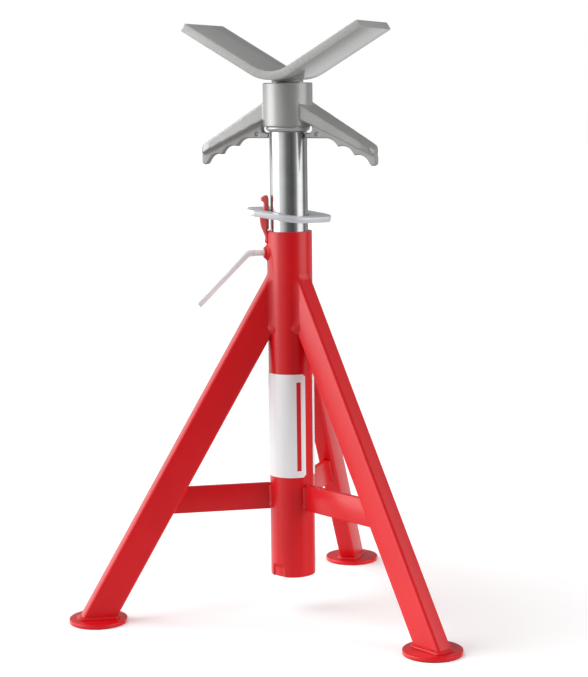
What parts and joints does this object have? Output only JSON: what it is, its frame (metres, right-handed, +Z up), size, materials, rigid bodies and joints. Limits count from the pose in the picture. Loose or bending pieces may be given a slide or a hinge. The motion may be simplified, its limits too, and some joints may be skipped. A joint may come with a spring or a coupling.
{
  "type": "pipe jack stand",
  "caption": "Welded tripod pipe stand with a sliding column, tilting lock plate, clamp screw, screw jack with a winged hand nut, and a V saddle.",
  "frame": {"origin": "on the floor, at the centre of the box round the three feet", "axes": "+Z up along the column, +Y towards the rear leg, +X towards the right leg; the pipe lies in the saddle along Y"},
  "size_m": [0.455, 0.4028, 0.6657],
  "materials": {
    "red_paint": "gloss red enamel",
    "grey_paint": "satin grey paint",
    "bright_zinc": "bright zinc plating",
    "plain_steel": "oiled machined steel",
    "brass": "plain brass",
    "label": "blank laminated label"
  },
  "bodies": {
    "stand": {"outer_tube": "red_paint", "leg_left": "red_paint", "leg_right": "red_paint", "leg_rear": "red_paint", "brace_left": "red_paint", "brace_right": "red_paint", "brace_rear": "red_paint", "foot_left": "red_paint", "foot_right": "red_paint", "foot_rear": "red_paint", "lock_bracket": "red_paint", "clamp_boss": "red_paint", "label_front": "label", "label_side": "label"},
    "lock": {"lock_plate": "bright_zinc"},
    "clamp_push": {"clamp_pad": "brass"},
    "clamp_handle": {"clamp_screw": "bright_zinc"},
    "column": {"inner_tube": "bright_zinc"},
    "bush": {"thrust_bush": "bright_zinc"},
    "nut": {"handle_nut": "grey_paint"},
    "saddle": {"v_saddle": "grey_paint", "jack_screw": "plain_steel", "screw_stop": "plain_steel"}
  },
  "joints": [
    {"name": "column_height", "type": "slide", "parent": "stand", "child": "column", "axis": [0, 0, 1], "range_m": [-0.06, 0.22]},
    {"name": "lock_tilt", "type": "hinge", "parent": "stand", "child": "lock", "pos_m": [-0.02685, -0.07175, 0.45466], "axis": [-0.3024, -0.9532, 0], "range_deg": [0, 9.1]},
    {"name": "clamp_travel", "type": "slide", "parent": "stand", "child": "clamp_push", "axis": [-0.866, -0.5, 0], "range_m": [0, 0.00251]},
    {"name": "clamp_turn", "type": "hinge", "parent": "clamp_push", "child": "clamp_handle", "pos_m": [-0.03464, -0.07625, 0.4126], "axis": [-0.866, -0.5, 0], "range_deg": [0, 720]},
    {"name": "head_swivel", "type": "hinge", "parent": "column", "child": "bush", "pos_m": [0, -0.05625, 0.547], "axis": [0, 0, 1], "continuous": true},
    {"name": "nut_turn", "type": "hinge", "parent": "bush", "child": "nut", "pos_m": [0, -0.05625, 0.5755], "axis": [0, 0, -1], "range_deg": [0, 5669]},
    {"name": "head_height", "type": "slide", "parent": "bush", "child": "saddle", "axis": [0, 0, 1], "range_m": [0, 0.1001]}
  ],
  "couplings": [
    {"joint": "clamp_travel", "follows": "clamp_turn", "m_per_rad": 0.00019894},
    {"joint": "head_height", "follows": "nut_turn", "m_per_rad": 0.0010106}
  ]
}
